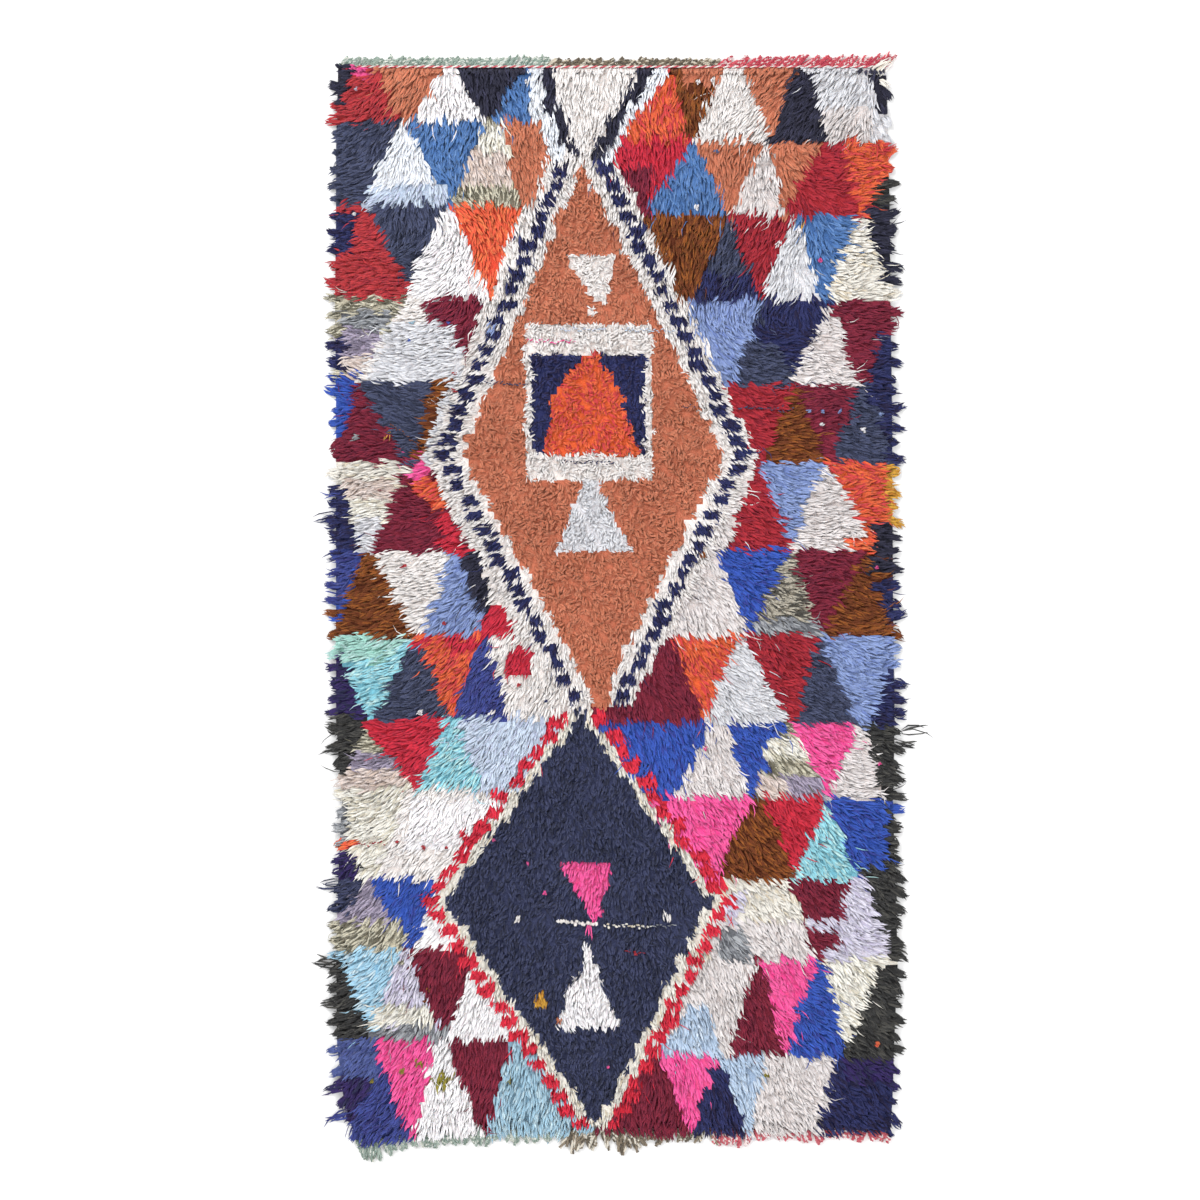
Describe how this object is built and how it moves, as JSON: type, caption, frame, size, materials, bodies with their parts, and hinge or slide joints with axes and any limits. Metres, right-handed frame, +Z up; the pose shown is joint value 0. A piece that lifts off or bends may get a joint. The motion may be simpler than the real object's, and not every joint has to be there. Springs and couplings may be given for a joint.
{
  "type": "berber rug",
  "caption": "Long shaggy hand-knotted wool rug with stacked lozenges in a patchwork of triangles, locks along its sides and a short warp fringe at each end, lying flat",
  "frame": {"origin": "middle of the rug's box on its flat underside, which lies on the floor at z = 0", "axes": "+X is across the rug to its right side as seen from above with the head end up, +Y is along the rug to its head end, +Z is up out of the pile"},
  "size_m": [1.1288, 2.078, 0.0282],
  "materials": {
    "pile": "long matt wool pile in many colours, copper the largest single one",
    "sage_warp": "matt twisted wool and cotton, grey green",
    "taupe_warp": "matt twisted wool and cotton, brown flecked with ecru",
    "rose_warp": "matt twisted wool and cotton, rose red flecked with white"
  },
  "bodies": {
    "root": {"pile_field": "pile", "top_fringe_sage": "sage_warp", "top_fringe_taupe": "taupe_warp", "top_fringe_rose": "rose_warp", "bottom_fringe_sage": "sage_warp", "bottom_fringe_taupe": "taupe_warp", "bottom_fringe_rose": "rose_warp"}
  },
  "joints": []
}
